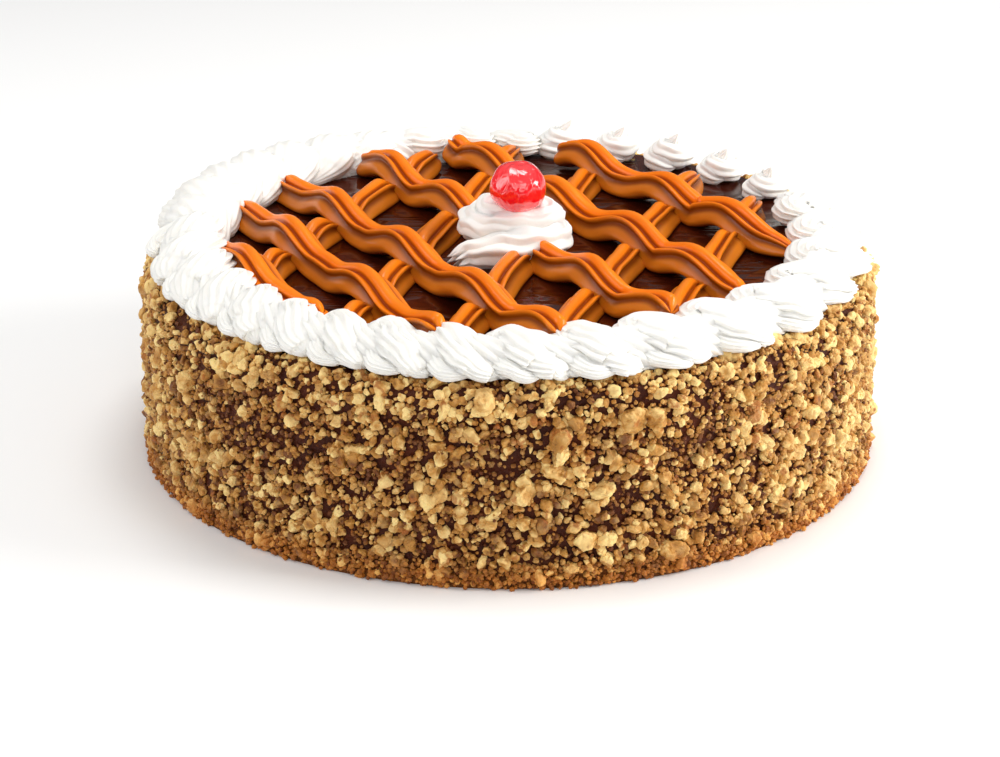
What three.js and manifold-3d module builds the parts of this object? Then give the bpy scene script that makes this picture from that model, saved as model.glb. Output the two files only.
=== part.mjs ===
// A round chocolate cake: chopped walnuts on a frosted side, a glazed top crossed by
// a lattice of piped caramel, a border of piped cream, and a cream rosette with a
// cherry in the middle. Millimetres, +Z up, standing on z = 0 with its axis at the
// origin. The front of the cake faces -Y.
import * as THREE from 'three';
import { mergeVertices } from 'three/addons/utils/BufferGeometryUtils.js';
import Module from 'manifold-3d';

const wasm = await Module();
wasm.setup();

// Driving dimensions.
const CAKE_RADIUS = 117; // frosted side at half height
const CAKE_HEIGHT = 62;
const FOOT_FLARE = 0.6; // the foot is this much wider than half height
const SHOULDER_ROUNDING = 5;
const GLAZE_THICKNESS = 1.5;
const GLAZE_RADIUS = 110;
const GAP = 0.3; // clearance between pieces that touch
const TOP = CAKE_HEIGHT + GAP + GLAZE_THICKNESS; // upper face of the glaze

// Chopped walnuts on the side.
const NUT_SEED = 41;
const LARGE_NUTS = 74;
const SMALL_NUTS = 54;
const LARGE_NUT_RADIUS = [3.8, 5.2];
const SMALL_NUT_RADIUS = [2.9, 3.8];
const NUT_BAND = [4.6, 53.5]; // lowest and highest nut centres
const NUT_REACH = 121.6; // no nut stands further out than this

// Piped caramel. Each strand is straight in plan. `turn` is the direction of its
// normal in degrees and `offset` the distance of its line from the cake's axis.
const STRAND_HALF_WIDTH = 5.2;
const UPPER_THICKNESS = 7.7;
const UPPER_LIFT = 4.6; // rise of an upper strand over a lower one
const LOWER_THICKNESS = 7.4; // height of a lower strand between two crossings
const LOWER_DIP = 3.1; // how far a lower strand is pressed down at a crossing
const STRAND_REACH = 89.8; // radius at which the strands meet the cream
const CROSSING_REACH = [3, 21]; // level up to the first distance, then sloping
const STEP_LENGTH = 8.2; // rings of a strand stand about this far apart
const UPPER_STRANDS = [
  { turn: 30.6, offset: -83.6 },
  { turn: 29.5, offset: -63.2 },
  { turn: 31.5, offset: -36.8 },
  { turn: 31.8, offset: -0.9 },
  { turn: 31.9, offset: 31.9 },
  { turn: 35.3, offset: 65.6 },
];
const LOWER_STRANDS = [
  { turn: -23.2, offset: -58.2 },
  { turn: -16.4, offset: -24.8 },
  { turn: -15.8, offset: 8.5 },
  { turn: -18.2, offset: 40.4 },
  { turn: -16.8, offset: 67.7 },
];

// Cream border, one piped shell after another, anticlockwise seen from above.
const BORDER_START = 228.3; // degrees, the seam where the piping began
const BORDER_RADIUS = 102.5;
const SHELL_PITCH = [9.6, 14.0]; // degrees, on the left and on the right
const WIDE_PITCH_AT = 350; // degrees, where the shells are longest
const SHELL_HALF_WIDTH = 10.4;
const SHELL_HEIGHT = 10.8;
const SHELL_RIDGES = 5; // on the part of the section above the glaze
const SHELL_STEPS = 4;
const SHELL_ARC = [-22, 202]; // degrees of the section that stand above the glaze
const SHELL_TWIST = -30; // degrees that the ridges turn from head to tail
const SHELL_DRIFT = [-1.2, 1.2]; // a shell starts on the inner side and ends on the outer
const SHELL_SLANT = 0.55; // seams run this far on for each step outwards
const PEAK_RISE = 5.5; // the shells at the back right are drawn up to a point
const PEAK_ARC = [57, 30]; // degrees, where those stand and how far they spread

// Centre rosette and cherry.
const ROSETTE = { x: 1.4, y: -6.8, radius: 17, height: 10.5, base: 5.4, ridges: 8, twist: 1.5 };
const CHERRY = { x: 3.1, y: -6.5, z: 23.3, radius: 9 };

const degrees = THREE.MathUtils.degToRad;

function seededRandom(seed) {
  let state = seed;
  return () => {
    state = (state * 1664525 + 1013904223) % 4294967296;
    return state / 4294967296;
  };
}

function between([low, high], share) {
  return low + (high - low) * share;
}

// Soft step: 0 below `from`, 1 above `to`.
function ease(from, to, value) {
  return THREE.MathUtils.smoothstep(value, from, to);
}

// Solids

function signedVolume(geometry) {
  const position = geometry.attributes.position;
  const index = geometry.index.array;
  const [a, b, c] = [new THREE.Vector3(), new THREE.Vector3(), new THREE.Vector3()];
  let volume = 0;
  for (let i = 0; i < index.length; i += 3) {
    a.fromBufferAttribute(position, index[i]);
    b.fromBufferAttribute(position, index[i + 1]);
    c.fromBufferAttribute(position, index[i + 2]);
    volume += a.dot(b.cross(c)) / 6;
  }
  return volume;
}

// A closed mesh with its shared vertices merged and its faces turned outwards.
function solidOf(geometry) {
  geometry.deleteAttribute('normal');
  geometry.deleteAttribute('uv');
  const merged = mergeVertices(geometry, 1e-4);
  const triVerts = new Uint32Array(merged.index.array);
  if (signedVolume(merged) < 0) {
    for (let i = 0; i < triVerts.length; i += 3) {
      [triVerts[i], triVerts[i + 1]] = [triVerts[i + 1], triVerts[i]];
    }
  }
  const vertProperties = new Float32Array(merged.attributes.position.array);
  return new wasm.Manifold(new wasm.Mesh({ numProp: 3, vertProperties, triVerts }));
}

// The largest body of a solid; loose scraps are dropped.
function largestBody(solid) {
  const bodies = solid.decompose();
  return bodies.reduce((best, body) => (body.volume() > best.volume() ? body : best));
}

function geometryOf(solid) {
  const { vertProperties, triVerts } = solid.getMesh();
  const geometry = new THREE.BufferGeometry();
  geometry.setAttribute('position', new THREE.BufferAttribute(vertProperties, 3));
  geometry.setIndex(new THREE.BufferAttribute(triVerts, 1));
  geometry.computeVertexNormals();
  return geometry;
}

// A closed bead from pole to pole: `place(along, around)` gives the point at a share
// of the way along it and round its section. Both poles are single points.
function bead(sides, steps, place) {
  const geometry = new THREE.SphereGeometry(1, sides, steps);
  const position = geometry.attributes.position;
  for (let row = 0; row <= steps; row += 1) {
    for (let column = 0; column <= sides; column += 1) {
      const point = place(row / steps, (column % sides) / sides);
      position.setXYZ(row * (sides + 1) + column, point.x, point.y, point.z);
    }
  }
  return solidOf(geometry);
}

// A closed loft with flat ends: `corner(along, number)` gives each corner of the
// section at a share of the way along it.
function loft(sides, steps, corner) {
  const geometry = new THREE.CylinderGeometry(1, 1, 1, sides, steps);
  const position = geometry.attributes.position;
  const point = new THREE.Vector3();
  for (let i = 0; i < position.count; i += 1) {
    point.fromBufferAttribute(position, i);
    const along = Math.round((point.y + 0.5) * steps) / steps;
    const number = Math.round((Math.atan2(point.x, point.z) / (2 * Math.PI)) * sides + sides) % sides;
    if (Math.hypot(point.x, point.z) > 0.5) {
      point.copy(corner(along, number));
    } else {
      point.set(0, 0, 0);
      for (let k = 0; k < sides; k += 1) {
        point.addScaledVector(corner(along, k), 1 / sides);
      }
    }
    position.setXYZ(i, point.x, point.y, point.z);
  }
  return solidOf(geometry);
}

// Cake body: frosting over sponge, one solid with the walnuts fused to its side.

function sideRadius(z) {
  const share = z / CAKE_HEIGHT;
  return CAKE_RADIUS + FOOT_FLARE * (1 - 2 * share);
}

function cakeCore() {
  const shoulder = CAKE_HEIGHT - SHOULDER_ROUNDING;
  const profile = [new THREE.Vector2(0, 0), new THREE.Vector2(sideRadius(0), 0)];
  profile.push(new THREE.Vector2(sideRadius(shoulder / 2), shoulder / 2));
  const arcSteps = 3;
  for (let i = 0; i <= arcSteps; i += 1) {
    const turn = (Math.PI / 2) * (i / arcSteps);
    const radius = sideRadius(shoulder) - SHOULDER_ROUNDING * (1 - Math.cos(turn));
    profile.push(new THREE.Vector2(radius, shoulder + SHOULDER_ROUNDING * Math.sin(turn)));
  }
  profile.push(new THREE.Vector2(0, CAKE_HEIGHT));
  return solidOf(new THREE.LatheGeometry(profile, 60).rotateX(Math.PI / 2));
}

// One chopped piece with uneven facets, part sunk in the frosting.
function walnutPiece(random, share, turn, radiusRange, detailed) {
  const radius = between(radiusRange, random());
  const geometry = detailed
    ? new THREE.IcosahedronGeometry(radius, 0)
    : new THREE.OctahedronGeometry(radius, 0);
  const stretch = [0.8 + 0.25 * random(), 0.8 + 0.25 * random(), 0.8 + 0.25 * random()];
  geometry.scale(...stretch);
  geometry.rotateX(random() * Math.PI);
  geometry.rotateZ(random() * Math.PI);
  const z = THREE.MathUtils.clamp(
    between(NUT_BAND, share) + (random() - 0.5) * 2,
    radius * 1.05 + 0.2,
    NUT_BAND[1],
  );
  geometry.computeBoundingSphere();
  const reach = geometry.boundingSphere.radius;
  const distance = Math.min(sideRadius(z) + 0.15 * radius, NUT_REACH - reach);
  const angle = turn + (random() - 0.5) * 0.03;
  geometry.translate(distance * Math.cos(angle), distance * Math.sin(angle), z);
  return solidOf(geometry);
}

// Even coverage: heights and angles step by two different irrational shares.
function walnutPieces() {
  const random = seededRandom(NUT_SEED);
  const pieces = [];
  const total = LARGE_NUTS + SMALL_NUTS;
  const goldenShare = (Math.sqrt(5) - 1) / 2;
  for (let i = 0; i < total; i += 1) {
    const large = Math.floor(((i + 1) * LARGE_NUTS) / total) > Math.floor((i * LARGE_NUTS) / total);
    const heightShare = (i * goldenShare) % 1;
    const turn = (2 * Math.PI * i) / total;
    const range = large ? LARGE_NUT_RADIUS : SMALL_NUT_RADIUS;
    pieces.push(walnutPiece(random, heightShare, turn, range, large));
  }
  return pieces;
}

function cakeBody() {
  let body = cakeCore();
  for (const piece of walnutPieces()) {
    body = body.add(piece);
  }
  return largestBody(body);
}

// Glaze: a thin pool over the flat top, with a rounded rim.
function chocolateGlaze() {
  const bottom = CAKE_HEIGHT + GAP;
  const profile = [
    new THREE.Vector2(0, bottom),
    new THREE.Vector2(GLAZE_RADIUS - 0.4, bottom),
    new THREE.Vector2(GLAZE_RADIUS, bottom + 0.5),
    new THREE.Vector2(GLAZE_RADIUS - 1.0, TOP),
    new THREE.Vector2(0, TOP),
  ];
  return solidOf(new THREE.LatheGeometry(profile, 48).rotateX(Math.PI / 2));
}

// Caramel lattice

function lineOf({ turn, offset }) {
  const normal = new THREE.Vector2(Math.cos(degrees(turn)), Math.sin(degrees(turn)));
  const direction = new THREE.Vector2(normal.y, -normal.x);
  return { normal, direction, offset };
}

// Distance along `line` at which `other` crosses it.
function crossingAt(line, other) {
  const start = line.offset * line.normal.dot(other.normal);
  return (other.offset - start) / line.direction.dot(other.normal);
}

// Share of a crossing felt at a place along a line: 1 over it and 0 well away from it.
function crossingShare(along, crossings) {
  return Math.max(0, ...crossings.map((at) => (
    1 - ease(...CROSSING_REACH, Math.abs(along - at))
  )));
}

// Sections of the strands, as shares of half width and height: an upper one shows two
// ridges on top and one on each flank, and a lower one three ridges.
const UPPER_SECTION = [
  [0.25, 1.0], [0.46, 0.7], [0.96, 0.56], [0.76, 0], [-0.8, 0], [-0.98, 0.24], [-0.62, 0.52],
  [-0.7, 0.86], [-0.16, 0.8],
];
const LOWER_SECTION = [
  [0, 1.0], [0.34, 0.74], [0.94, 0.66], [0.8, 0], [-0.8, 0], [-0.94, 0.66], [-0.34, 0.74],
];

// The ends of a strand follow the inner edge of the cream. `margin` makes a strand
// that much larger all round.
function strand(line, section, underside, thickness, margin) {
  const longEdge = Math.max(0, Math.abs(line.offset) - STRAND_HALF_WIDTH);
  const steps = Math.round((2 * Math.sqrt(STRAND_REACH ** 2 - longEdge ** 2)) / STEP_LENGTH);
  return loft(section.length, steps, (share, number) => {
    const [across, up] = section[number];
    const offset = line.offset + across * (STRAND_HALF_WIDTH + margin);
    const along = (2 * share - 1) * Math.sqrt(STRAND_REACH ** 2 - offset ** 2);
    const point = line.normal.clone().multiplyScalar(offset);
    point.addScaledVector(line.direction, along);
    const z = underside(along) - margin + up * (thickness(along) + 2 * margin);
    return new THREE.Vector3(point.x, point.y, z);
  });
}

const upperLines = UPPER_STRANDS.map(lineOf);
const lowerLines = LOWER_STRANDS.map(lineOf);

function upperStrand(line, margin) {
  const crossings = lowerLines.map((other) => crossingAt(line, other));
  const underside = (along) => TOP + GAP + UPPER_LIFT * crossingShare(along, crossings);
  return strand(line, UPPER_SECTION, underside, () => UPPER_THICKNESS, margin);
}

function lowerStrand(line, margin) {
  const crossings = upperLines.map((other) => crossingAt(line, other));
  const thickness = (along) => LOWER_THICKNESS - LOWER_DIP * crossingShare(along, crossings);
  return strand(line, LOWER_SECTION, () => TOP + GAP, thickness, margin);
}

// An upper strand, hollowed where a lower one still presses into it.
function drapedStrand(line) {
  let upper = upperStrand(line, 0);
  for (const lower of lowerLines) {
    upper = upper.subtract(lowerStrand(lower, GAP));
  }
  return largestBody(upper);
}

// Cream border

function bump(angle, centre, spread) {
  const away = THREE.MathUtils.euclideanModulo(angle - centre + 180, 360) - 180;
  return Math.exp(-((away / spread) ** 2));
}

function shellPitch(angle) {
  const away = THREE.MathUtils.euclideanModulo(angle - WIDE_PITCH_AT + 180, 360) - 180;
  return between(SHELL_PITCH, Math.max(0, Math.cos(degrees(away * 0.85))));
}

// Seams between shells, in degrees, spread so that the last meets the first.
function shellSeams() {
  const seams = [BORDER_START];
  while (seams.at(-1) < BORDER_START + 360) {
    seams.push(seams.at(-1) + shellPitch(seams.at(-1)));
  }
  const stretch = 360 / (seams.at(-1) - BORDER_START);
  return seams.map((angle) => BORDER_START + (angle - BORDER_START) * stretch);
}

// The border is taller and fatter at the left and back left, lower at the back right.
function shellSize(angle) {
  const tall = bump(angle, 160, 42);
  const low = bump(angle, 65, 45);
  return {
    height: SHELL_HEIGHT + 5.5 * tall - 2.6 * low,
    halfWidth: SHELL_HALF_WIDTH + 1.2 * tall - 1.2 * low,
    radius: BORDER_RADIUS - 0.8 * low,
  };
}

// Fullness of a shell along its length: it swells quickly into a fat head and tapers
// to a tail.
function shellFullness(along) {
  return 0.12 + 0.88 * Math.sin(Math.PI * (0.06 + 0.94 * along) ** 0.6) ** 0.8;
}

// How far the crown of a shell is drawn up where it is fullest.
function shellPeak(angle, along, turn) {
  const crown = Math.max(0, Math.sin(turn)) ** 4;
  return PEAK_RISE * bump(angle, ...PEAK_ARC) * crown * Math.exp(-(((along - 0.5) / 0.2) ** 2));
}

// One shell, from its seam with the last to its seam with the next. The seams slant,
// because each shell turns outwards as it runs on, and its ridges turn with it.
function creamShell(from, to) {
  const { height, halfWidth, radius } = shellSize((from + to) / 2);
  const halfGap = GAP / 2 / radius;
  const sides = 2 * SHELL_RIDGES;
  return loft(sides, SHELL_STEPS, (along, number) => {
    const full = shellFullness(along);
    const ridge = number % 2 === 0 ? 0.93 : 1.07;
    const turn = degrees(between(SHELL_ARC, number / (sides - 1)) + SHELL_TWIST * (along - 0.5));
    const width = halfWidth * (0.7 + 0.3 * full) * ridge;
    const across = width * Math.cos(turn) + between(SHELL_DRIFT, along);
    const crown = height * (0.5 + 0.5 * full) * (0.34 + 0.62 * ridge * Math.sin(turn));
    const rise = crown + shellPeak((from + to) / 2, along, turn);
    const start = degrees(from) + halfGap;
    const angle = start + (degrees(to) - halfGap - start) * along + (SHELL_SLANT * across) / radius;
    const reach = radius + across;
    return new THREE.Vector3(
      reach * Math.cos(angle),
      reach * Math.sin(angle),
      TOP + Math.max(GAP, rise),
    );
  });
}

function creamBorder() {
  const seams = shellSeams();
  return seams.slice(1).map((seam, i) => creamShell(seams[i], seam));
}

// Centre rosette and cherry

function rosetteBody() {
  const { x, y, radius, height, base, ridges, twist } = ROSETTE;
  return bead(2 * ridges, 8, (along, around) => {
    const rise = along < 0.3 ? 0 : (along - 0.3) / 0.7;
    const spread = along < 0.3
      ? Math.sqrt(along / 0.3)
      : Math.cos((Math.PI / 2) * rise ** 1.25) ** 0.75;
    const ridge = 1 + 0.12 * Math.cos(2 * Math.PI * ridges * around);
    const turn = 2 * Math.PI * around + twist * rise;
    const reach = radius * spread * ridge;
    const lift = height * Math.sin((Math.PI / 2) * rise) ** 0.8;
    return new THREE.Vector3(
      x + reach * Math.cos(turn),
      y + reach * Math.sin(turn),
      TOP + base + lift,
    );
  });
}

// The rosette is moulded round the strands under it and the cherry that sits in it.
function creamRosette() {
  let rosette = rosetteBody().subtract(cherryBody(GAP));
  for (const line of upperLines) {
    rosette = rosette.subtract(upperStrand(line, GAP));
  }
  for (const line of lowerLines) {
    rosette = rosette.subtract(lowerStrand(line, GAP));
  }
  return largestBody(rosette);
}

function cherryBody(margin) {
  return bead(14, 10, (along, around) => {
    const tilt = Math.PI * along;
    const turn = 2 * Math.PI * around;
    const wrinkle = 1 - 0.02 * (1 + Math.sin(3 * turn + 4 * tilt)) * Math.sin(tilt);
    const dimple = 1 - 0.14 * Math.exp(-((tilt / 0.45) ** 2));
    const radius = CHERRY.radius * wrinkle * dimple + margin;
    return new THREE.Vector3(
      CHERRY.x + radius * Math.sin(tilt) * Math.cos(turn),
      CHERRY.y + radius * Math.sin(tilt) * Math.sin(turn),
      TOP + CHERRY.z + radius * Math.cos(tilt) * 0.93,
    );
  });
}

// Assembly

const frosting = new THREE.MeshStandardMaterial({ color: 0x8a6236, roughness: 0.75, metalness: 0 });
const glaze = new THREE.MeshStandardMaterial({ color: 0x35110a, roughness: 0.15, metalness: 0 });
const caramel = new THREE.MeshStandardMaterial({ color: 0xb9500f, roughness: 0.3, metalness: 0 });
const cream = new THREE.MeshStandardMaterial({ color: 0xfaf6ee, roughness: 0.5, metalness: 0 });
const cherryRed = new THREE.MeshStandardMaterial({ color: 0xc8101c, roughness: 0.12, metalness: 0 });

const cake = new THREE.Group();

function addPiece(name, solid, material) {
  const mesh = new THREE.Mesh(geometryOf(solid), material.clone());
  mesh.name = name;
  cake.add(mesh);
}

function numbered(name, index) {
  return `${name}_${String(index + 1).padStart(2, '0')}`;
}


addPiece('cake_body', cakeBody(), frosting);
addPiece('chocolate_glaze', chocolateGlaze(), glaze);
lowerLines.forEach((line, i) => addPiece(numbered('caramel_lower', i), lowerStrand(line, 0), caramel));
upperLines.forEach((line, i) => addPiece(numbered('caramel_upper', i), drapedStrand(line), caramel));
creamBorder().forEach((solid, i) => addPiece(numbered('cream_shell', i), solid, cream));
addPiece('cream_rosette', creamRosette(), cream);
addPiece('cherry', cherryBody(0), cherryRed);

export default cake;
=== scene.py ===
import math

import bpy
import numpy as np
from mathutils import Matrix, Vector, noise


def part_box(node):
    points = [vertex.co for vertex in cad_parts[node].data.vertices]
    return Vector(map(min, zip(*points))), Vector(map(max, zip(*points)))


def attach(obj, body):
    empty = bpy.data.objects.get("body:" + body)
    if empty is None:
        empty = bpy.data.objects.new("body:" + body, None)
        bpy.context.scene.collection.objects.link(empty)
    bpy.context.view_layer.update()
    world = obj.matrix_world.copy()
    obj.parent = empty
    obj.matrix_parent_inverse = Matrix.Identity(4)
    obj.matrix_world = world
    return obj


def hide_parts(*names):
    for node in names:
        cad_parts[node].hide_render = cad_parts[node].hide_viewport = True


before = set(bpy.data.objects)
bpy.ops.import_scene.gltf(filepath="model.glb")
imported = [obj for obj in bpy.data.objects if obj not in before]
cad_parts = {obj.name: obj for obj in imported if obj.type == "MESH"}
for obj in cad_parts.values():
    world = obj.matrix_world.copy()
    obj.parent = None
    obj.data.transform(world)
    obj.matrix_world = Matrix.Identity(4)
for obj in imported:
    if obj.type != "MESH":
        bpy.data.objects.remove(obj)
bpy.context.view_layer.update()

MM = 0.001

# Blender starts its vector noise from the clock unless it is given a start.
NOISE_START = 1795561915
noise.seed_set(NOISE_START)

# Sizes, in millimetres, as in the solids that the pieces replace.
cake_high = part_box("cake_body")[1]
glaze_low, glaze_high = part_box("chocolate_glaze")
CAKE_HEIGHT = cake_high.z / MM
TOP = glaze_high.z / MM
NUT_REACH = cake_high.x / MM - 0.1
GLAZE_RADIUS = glaze_high.x / MM
CAKE_RADIUS = 117.0
FOOT_FLARE = 0.6
SHOULDER_ROUNDING = 5.0
GLAZE_LIP = 1.2

# A strand's section: angle, reach as a share of its radius, how bright its ridge is, and
# how far it is brown wall; low brightness paints shade into the grooves, and the brown wall
# is painted shade. It leans to the left, with a tight groove between two ridges.
STRAND_SECTION = np.array([
    (-20, 0.86, 0.30, 0.8), (12, 0.98, 0.90, 0.4), (36, 0.72, 0.10, 0.4), (56, 0.93, 0.75, 0.0),
    (76, 1.06, 1.00, 0.0), (95, 0.96, 0.95, 0.0), (105, 0.76, 0.25, 0.0), (113, 0.58, 0.00, 0.0),
    (121, 0.70, 0.20, 0.0), (130, 1.03, 1.00, 0.0), (138, 0.97, 0.60, 0.5), (148, 0.76, 0.10, 1.0),
    (165, 0.76, 0.25, 1.0), (184, 0.95, 0.70, 0.9), (201, 1.10, 0.90, 0.8), (220, 1.06, 0.30, 1.0),
    (250, 0.86, 0.00, 1.0), (300, 0.84, 0.00, 1.0), (340, 0.86, 0.30, 0.8),
])
STRAND_RADIUS = 5.2
STRAND_CENTRE = 3.5
UPPER_LIFT = 4.5
LOWER_CENTRE = 3.0
PRESSED_HEIGHT = 4.3
CROSSING_REACH = 21.0
# The upper strand, counted from 0, that the rosette presses down.
UNDER_ROSETTE = 3
# Upper strands: turn and offset of each line, then where it starts and stops along it,
# and over what length it narrows at either end.
UPPER_STRANDS = [
    ((30.6, -87.4), (-40, 40), (9, 9)), ((29.5, -63.9), (-71, 74), (13, 2.5)),
    ((31.5, -37.3), (-87, 90), (8, 2.5)), ((31.8, -1.1), (-94, 93), (5, 2.5)),
    ((31.9, 31.6), (-89, 85), (5, 5)), ((35.3, 65.4), (-61, 66), (5, 26)),
]
LOWER_STRANDS = [
    ((-23.2, -58.2), (-72, 72), (16, 2)), ((-16.4, -24.4), (-92, 90), (16, 2)),
    ((-15.8, 8.7), (-92, 92), (16, 2)), ((-18.2, 40.6), (-83, 84), (18, 2)),
    ((-16.8, 67.9), (-60, 64), (12, 2)),
]

# The border's shells: the first seam, the circle of their middles, the least and greatest
# angle from seam to seam, and where it is greatest, in degrees and millimetres.
BORDER_START = 228.3
BORDER_RADIUS = 102.5
SHELL_PITCH = (9.6, 14.0)
WIDE_PITCH_AT = 350
SHELL_HALF_WIDTH = 10.4
SHELL_HEIGHT = 10.8
SHELL_RIDGES = 15
USUAL_LENGTH = 17.5
# Middle and spread, in degrees, of the arcs where the border is tall, is low, is neat, is
# laid in shorter strokes, and is laid over in waves; and where it is single dollops.
TALL_ARC = (160, 42)
LOW_ARC = (65, 45)
NEAT_ARC = (300, 22)
SHORT_ARC = (318, 36)
WAVE_ARC = (148, 52)
DOLLOPS = (25, 84)

# The cherry's middle, over the glaze.
CHERRY_PLACE = (3.1, -6.5, 23.1)
CHERRY_RADIUS = 8.9

# The photograph's view: distance and height angle of the camera, the point that it
# looks at, and the focal length as a share of the picture's width.
VIEW_DISTANCE = 900.0
VIEW_HEIGHT = 21.29
VIEW_TARGET = (0.0, 0.0, 35.0)
VIEW_FOCAL = 2.7507
TARGET_PIXEL = (508.34, 331.42)
PICTURE = (1000, 757)


# Making and joining meshes

def use(piece):
    """Makes one piece the only selected and active one."""
    if bpy.context.mode != "OBJECT":
        bpy.ops.object.mode_set(mode="OBJECT")
    bpy.ops.object.select_all(action="DESELECT")
    piece.select_set(True)
    bpy.context.view_layer.objects.active = piece
    return piece


def apply_modifiers(piece):
    use(piece)
    for modifier in list(piece.modifiers):
        bpy.ops.object.modifier_apply(modifier=modifier.name)
    return piece


def edit(piece, mode="FACE"):
    use(piece)
    bpy.ops.object.mode_set(mode="EDIT")
    bpy.ops.mesh.select_mode(type=mode)
    bpy.ops.mesh.select_all(action="DESELECT")


def select_edges(piece, wanted):
    """Selects the edges whose two ends satisfy `wanted`, from within edit mode."""
    bpy.ops.mesh.select_all(action="DESELECT")
    bpy.ops.object.mode_set(mode="OBJECT")
    points = piece.data.vertices
    for edge in piece.data.edges:
        a, b = (points[i].co for i in edge.vertices)
        edge.select = wanted(a, b)
    bpy.ops.object.mode_set(mode="EDIT")


def points_of(piece):
    points = np.empty(len(piece.data.vertices) * 3)
    piece.data.vertices.foreach_get("co", points)
    return points.reshape(-1, 3)


def place_points(piece, points):
    piece.data.vertices.foreach_set("co", np.ascontiguousarray(points, dtype=float).ravel())
    piece.data.update()


def finished(piece, name, material, slot, *nodes, crisp=False):
    """Names a finished piece, gives it its finish and lets it stand for CAD nodes."""
    piece.name = name
    piece.data.name = name
    piece.data.materials.clear()
    piece.data.materials.append(material)
    use(piece)
    if crisp:
        bpy.ops.object.shade_flat()
    else:
        bpy.ops.object.shade_smooth()
    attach(piece, "root")
    if nodes:
        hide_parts(*nodes)
    return piece


def piped(name, sides, steps, place):
    """A closed tube of soft food, drawn along its length. `place(along, around, rim)`
    takes arrays of shares of its length and girth, with rim 1 on its skin and 0 at the
    middle of its two ends, and gives points in millimetres."""
    bpy.ops.object.select_all(action="DESELECT")
    bpy.ops.mesh.primitive_cylinder_add(vertices=sides, radius=1, depth=1, end_fill_type="TRIFAN")
    piece = bpy.context.active_object
    piece.name = name
    edit(piece, "EDGE")
    rough = math.ceil(steps / 90)
    for parts in (rough, round(steps / rough)):
        select_edges(piece, lambda a, b: abs(a.z - b.z) > 0.5 / rough)
        if parts > 1:
            bpy.ops.mesh.subdivide(number_cuts=parts - 1)
    bpy.ops.object.mode_set(mode="OBJECT")
    raw = points_of(piece)
    along = raw[:, 2] + 0.5
    around = np.arctan2(raw[:, 1], raw[:, 0]) / (2 * np.pi) % 1
    rim = np.hypot(raw[:, 0], raw[:, 1])
    place_points(piece, place(along, around, rim) * MM)
    edit(piece)
    bpy.ops.mesh.select_all(action="SELECT")
    bpy.ops.mesh.normals_make_consistent(inside=False)
    bpy.ops.object.mode_set(mode="OBJECT")
    return piece


def spline(stations, values, at):
    """A smooth curve through `values` at `stations`, read at the shares `at`."""
    stations = np.asarray(stations, float)
    values = np.asarray(values, float)
    slopes = np.gradient(values, stations, axis=0)
    at = np.clip(at, stations[0], stations[-1])
    i = np.clip(np.searchsorted(stations, at, side="right") - 1, 0, len(stations) - 2)
    gap = stations[i + 1] - stations[i]
    t = (at - stations[i]) / gap
    if values.ndim > 1:
        gap, t = gap[:, None], t[:, None]
    a = values[i] * (2 * t**3 - 3 * t**2 + 1) + values[i + 1] * (3 * t**2 - 2 * t**3)
    return a + gap * (slopes[i] * (t**3 - 2 * t**2 + t) + slopes[i + 1] * (t**3 - t**2))


def smooth_step(low, high, value):
    t = np.clip((value - low) / (high - low), 0, 1)
    return t * t * (3 - 2 * t)


def bump(angle, centre, spread):
    away = (angle - centre + 180) % 360 - 180
    return math.exp(-((away / spread) ** 2))


def crest_line(turn, ridges, sharpness):
    """How far a star nozzle's section stands out, from 0 in a groove to 1 on a ridge.
    Sharpness near 0 gives a pointed ridge, near 1 a rounded one with a sharp groove."""
    pointed = np.abs(np.sin(ridges / 2 * turn))
    soft = 0.12
    pointed = 1 - (np.sqrt(pointed ** 2 + soft ** 2) - soft) / (math.sqrt(1 + soft ** 2) - soft)
    rounded = np.abs(np.cos(ridges / 2 * turn)) ** 0.8
    return pointed + (rounded - pointed) * sharpness


def bead(
    path, radii, twist, ridges, depth, seed, sharpness=0.8, fringe=0.0, unevenness=0.7,
    teeth=0.5, at=0.0,
):
    """The `place` of a tube that follows a path with a star-shaped section, as a star
    nozzle leaves it. `path` has stations over TOP, and `radii` a half width and a half
    height at each. `fringe` is how far its ridges stand out of its blunt ends, and
    `teeth` how much deeper its grooves are round the share `at` of its length."""
    stations = np.linspace(0, 1, len(path))

    def place(along, around, rim):
        centre = spline(stations, path, along)
        ahead = spline(stations, path, np.minimum(along + 0.01, 1))
        behind = spline(stations, path, np.maximum(along - 0.01, 0))
        run = ahead - behind
        run /= np.linalg.norm(run, axis=1)[:, None]
        side = np.cross(run, (0, 0, 1))
        side /= np.linalg.norm(side, axis=1)[:, None]
        up = np.cross(side, run)
        turn = 2 * np.pi * around
        star = crest_line(turn + twist * along, ridges, sharpness)
        deep = depth * (1 + teeth * np.exp(-(((along - at) / 0.16) ** 2)))
        size = spline(stations, radii, along) * ((1 - deep + deep * star) * rim)[:, None]
        points = centre + side * (size[:, 0] * np.cos(turn))[:, None]
        points += up * (size[:, 1] * np.sin(turn))[:, None]
        ends = np.exp(-((along / 0.03) ** 2)) - 0.6 * np.exp(-(((1 - along) / 0.05) ** 2))
        points -= run * (fringe * star * rim * ends)[:, None]
        uneven = [noise.noise_vector(Vector(p) / 7 + Vector((seed, 0, 0))) for p in points]
        points += np.array(uneven) * unevenness
        points[:, 2] = np.maximum(points[:, 2], -0.3) + TOP
        return points

    return place


# Materials

class Wire:
    """A number or colour inside a finish, so that shader maths reads as sums."""

    def __init__(self, finish, socket):
        self.finish = finish
        self.socket = socket

    def math(self, operation, *others):
        return self.finish.math(operation, self, *others)

    def __add__(self, other):
        return self.math("ADD", other)

    def __sub__(self, other):
        return self.math("SUBTRACT", other)

    def __mul__(self, other):
        return self.math("MULTIPLY", other)

    def __rsub__(self, other):
        return self.finish.math("SUBTRACT", other, self)

    __radd__ = __add__
    __rmul__ = __mul__


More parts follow.
